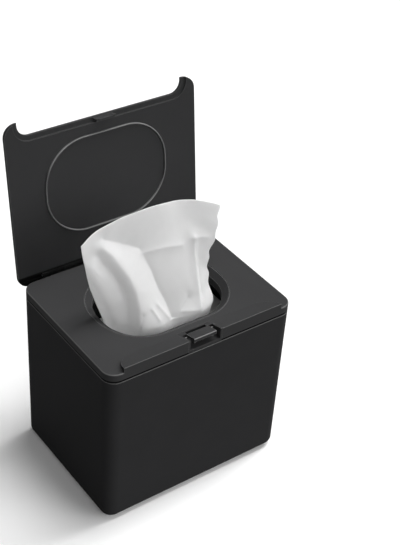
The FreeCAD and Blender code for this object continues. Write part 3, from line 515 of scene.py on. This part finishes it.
# The top edge: shares of the width and heights above the table.
top_edge = [(0.0, 0.2445), (0.10, 0.2510), (0.21, 0.2545), (0.32, 0.2573), (0.44, 0.2584),
            (0.57, 0.2589), (0.70, 0.2577), (0.81, 0.2560), (0.88, 0.2550), (1.0, 0.2520)]
sheet_foot = 0.117
left_return = 0.42
right_return = 0.28


def between(rows, place):
    """The values of a table of rows at a place, on a smooth curve through the rows."""
    place = min(max(place, rows[0][0]), rows[-1][0])
    index = 0
    while index < len(rows) - 2 and place > rows[index + 1][0]:
        index += 1
    low = rows[index]
    high = rows[index + 1]
    earlier = rows[max(index - 1, 0)]
    later = rows[min(index + 2, len(rows) - 1)]
    span = high[0] - low[0]
    t = (place - low[0]) / span
    values = []
    for a, b, before, after in zip(low[1:], high[1:], earlier[1:], later[1:]):
        slope_low = (b - before) / (high[0] - earlier[0]) * span
        slope_high = (after - a) / (later[0] - low[0]) * span
        values.append((2 * t ** 3 - 3 * t ** 2 + 1) * a + (t ** 3 - 2 * t ** 2 + t) * slope_low
                      + (3 * t ** 2 - 2 * t ** 3) * b + (t ** 3 - t ** 2) * slope_high)
    return values


def on_sheet(u, v):
    """A point of the smooth sheet: u from its left to its right edge, v from its foot to its top."""
    left_x, left_y, right_x, right_y, front_y = between(stations, v)
    from_left = max(0, 1 - u / left_return) ** 2
    from_right = max(0, 1 - (1 - u) / right_return) ** 2
    y = front_y + (left_y - front_y) * from_left + (right_y - front_y) * from_right
    top = between(top_edge, u)[0]
    return Vector((left_x + (right_x - left_x) * u, y, sheet_foot + (top - sheet_foot) * v))


# Folds: how far the sheet stands forward along a line, how wide the fold is, how sharp (1 is a crease,
# 2 is round), and the line itself as shares of the width and the rise.
folds = [
    (0.0046, 0.0085, 1.4, [(0.15, 0.873), (0.19, 0.82), (0.22, 0.75), (0.26, 0.667), (0.275, 0.577),
                           (0.26, 0.503), (0.215, 0.347)]),
    (-0.0036, 0.0065, 1.6, [(0.10, 0.843), (0.12, 0.78), (0.165, 0.70), (0.185, 0.617), (0.18, 0.523),
                            (0.13, 0.33)]),
    (-0.0078, 0.0170, 1.05, [(0.17, 0.92), (0.295, 0.85), (0.41, 0.793), (0.435, 0.743), (0.475, 0.653),
                             (0.485, 0.537), (0.52, 0.37)]),
    (0.0030, 0.0036, 1.1, [(0.825, 0.77), (0.835, 0.713), (0.84, 0.63), (0.825, 0.55), (0.795, 0.46),
                           (0.79, 0.383)]),
    (-0.0018, 0.0040, 1.4, [(0.885, 0.74), (0.895, 0.63), (0.875, 0.54), (0.85, 0.44)]),
    (0.0016, 0.0034, 1.0, [(0.425, 0.763), (0.585, 0.757), (0.73, 0.747)]),
    (-0.0020, 0.0034, 1.1, [(0.70, 0.447), (0.615, 0.393)]),
    (0.0016, 0.0026, 1.0, [(0.615, 0.386), (0.785, 0.366)]),
    (0.0018, 0.0026, 1.1, [(0.41, 0.463), (0.445, 0.42), (0.485, 0.377)]),
    (0.0014, 0.0022, 1.1, [(0.34, 0.453), (0.37, 0.39)]),
    (-0.0015, 0.0024, 1.2, [(0.255, 0.427), (0.21, 0.353)]),
    (0.0030, 0.0075, 1.6, [(0.04, 0.803), (0.06, 0.663), (0.075, 0.523), (0.08, 0.353)]),
    (-0.0018, 0.0045, 1.6, [(0.0, 0.60), (0.02, 0.47), (0.01, 0.313)]),
    (0.0026, 0.0040, 1.1, [(0.825, 0.777), (0.935, 0.77)]),
]
spread_width = 0.125
spread_rise = 0.140
flat_width = 0.15
flat_length = 0.14
wrinkle_depth = 0.0007
gather_depth = 0.0022
gather_count = 44
gather_top = 0.24
gather_blend = 0.2
ruffle_depth = 0.0009
ruffle_count = 52
ruffle_width = 0.1
cloth_thickness = 0.0005


def reach_to(line, u, v):
    """Distance from a place on the sheet to a line on it, as if the sheet were flat."""
    here = Vector((u * spread_width, v * spread_rise, 0))
    spots = [Vector((across * spread_width, rise * spread_rise, 0)) for across, rise in line]
    nearest = []
    for start, end in zip(spots, spots[1:]):
        along = end - start
        share = min(max((here - start).dot(along) / along.length_squared, 0), 1)
        nearest.append((here - (start + along * share)).length)
    return min(nearest)


columns = 150
rows = 165
nearby = 0.01
wipe_shape = bmesh.new()
bmesh.ops.create_grid(wipe_shape, x_segments=columns, y_segments=rows, size=0.5)
cloth_map = wipe_shape.loops.layers.uv.new("cloth")
for face in wipe_shape.faces:
    for loop in face.loops:
        loop[cloth_map].uv = ((loop.vert.co.x + 0.5) * flat_width,
                              (loop.vert.co.y + 0.5) * flat_length)
for vert in wipe_shape.verts:
    u = vert.co.x + 0.5
    v = vert.co.y + 0.5
    spot = on_sheet(u, v)
    across = on_sheet(min(u + nearby, 1), v) - on_sheet(max(u - nearby, 0), v)
    rising = on_sheet(u, min(v + nearby, 1)) - on_sheet(u, max(v - nearby, 0))
    forward = across.cross(rising).normalized()
    lift = sum(depth * math.exp(-(reach_to(line, u, v) / width) ** sharp)
               for depth, width, sharp, line in folds)
    wrinkle = noise.noise(Vector((u * 7, v * 5, 2.3))) * wrinkle_depth
    near_foot = min(max((gather_top - v) / gather_blend, 0), 1)
    gather = math.sin(u * gather_count) * gather_depth * near_foot
    near_right_edge = max(0, 1 - (1 - u) / ruffle_width)
    ruffle = math.sin(v * ruffle_count + 1.0) * ruffle_depth * near_right_edge
    vert.co = spot + forward * (lift + wrinkle + gather) + Vector((ruffle, 0, 0))
wipe_mesh = bpy.data.meshes.new("standing_wipe")
wipe_shape.to_mesh(wipe_mesh)
wipe_shape.free()
for face in wipe_mesh.polygons:
    face.use_smooth = True
standing_wipe = bpy.data.objects.new("standing_wipe", wipe_mesh)
bpy.context.scene.collection.objects.link(standing_wipe)
both_sides = standing_wipe.modifiers.new("cloth thickness", "SOLIDIFY")
both_sides.thickness = cloth_thickness
both_sides.offset = 0
wipe_cloth = nonwoven("standing cloth", (0.89, 0.89, 0.89), (0.95, 0.95, 0.95), coordinate="UV",
                      translucence=0.6, fibre_depth=0.00015, light_through=0.5)
wipe_mesh.materials.append(wipe_cloth)
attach(standing_wipe, "cover_body")
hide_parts("leading_wipe")
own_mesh(standing_wipe)


# The room: a plain white floor, paler where it is seen than in the light that it throws back, and a
# faint even surround. Three broad lights stand one above the other on the right, so the soft shadow
# fades to the left. A low one in front and a weak one on the left fill in.
bpy.context.scene.view_settings.view_transform = "Standard"
floor_shape = bmesh.new()
bmesh.ops.create_grid(floor_shape, x_segments=1, y_segments=1, size=6)
floor_mesh = bpy.data.meshes.new("floor")
floor_shape.to_mesh(floor_mesh)
floor_shape.free()
floor = bpy.data.objects.new("floor", floor_mesh)
bpy.context.scene.collection.objects.link(floor)


def seen_directly(tree_nodes, links):
    """1 for camera, glossy and transmission rays, else 0."""
    path = tree_nodes.new("ShaderNodeLightPath")
    total = path.outputs["Is Camera Ray"]
    for kind in ("Is Glossy Ray", "Is Transmission Ray"):
        total = combine(tree_nodes, links, "MAXIMUM", total, path.outputs[kind])
    return total


floor_material, tree_nodes, links = new_material("white floor")
tree_nodes.remove(tree_nodes["Principled BSDF"])
seen = seen_directly(tree_nodes, links)
matt = tree_nodes.new("ShaderNodeBsdfDiffuse")
thrown_back = (0.22, 0.22, 0.22)
white_paint = (0.97, 0.97, 0.97)
links.new(blend(tree_nodes, links, seen, thrown_back, white_paint), matt.inputs["Color"])
glow = tree_nodes.new("ShaderNodeEmission")
faint_glow = 0.02
links.new(combine(tree_nodes, links, "MULTIPLY", seen, faint_glow), glow.inputs["Strength"])
added = tree_nodes.new("ShaderNodeAddShader")
links.new(matt.outputs["BSDF"], added.inputs[0])
links.new(glow.outputs["Emission"], added.inputs[1])
links.new(added.outputs["Shader"], tree_nodes["Material Output"].inputs["Surface"])
floor_mesh.materials.append(floor_material)

room = bpy.data.worlds.new("room")
bpy.context.scene.world = room
room.use_nodes = True
tree_nodes = room.node_tree.nodes
links = room.node_tree.links
tree_nodes.clear()
faint_surround = 0.08
plain_white = 1.0
lit = tree_nodes.new("ShaderNodeBackground")
lit.inputs["Color"].default_value = (1, 1, 1, 1)
lit.inputs["Strength"].default_value = faint_surround
shown = tree_nodes.new("ShaderNodeBackground")
shown.inputs["Color"].default_value = (1, 1, 1, 1)
shown.inputs["Strength"].default_value = plain_white
choice = tree_nodes.new("ShaderNodeMixShader")
links.new(seen_directly(tree_nodes, links), choice.inputs["Fac"])
links.new(lit.outputs["Background"], choice.inputs[1])
links.new(shown.outputs["Background"], choice.inputs[2])
links.new(choice.outputs["Shader"], tree_nodes.new("ShaderNodeOutputWorld").inputs["Surface"])


def add_broad_light(name, side, height, spread_degrees, strength):
    """Even light from a side, in degrees from +X towards +Y, and a height above the floor."""
    lamp = bpy.data.lights.new(name, "SUN")
    lamp.angle = math.radians(spread_degrees)
    lamp.energy = strength
    holder = bpy.data.objects.new(name, lamp)
    holder.rotation_euler = (0, math.radians(90 - height), math.radians(side))
    bpy.context.scene.collection.objects.link(holder)


add_broad_light("top light", side=3, height=78, spread_degrees=20, strength=1.35)
add_broad_light("upper right light", side=3, height=61, spread_degrees=20, strength=0.9)
add_broad_light("right light", side=3, height=42, spread_degrees=22, strength=1.0)
add_broad_light("low front light", side=-56, height=20, spread_degrees=44, strength=1.5)
add_broad_light("left fill light", side=-118, height=40, spread_degrees=60, strength=0.6)
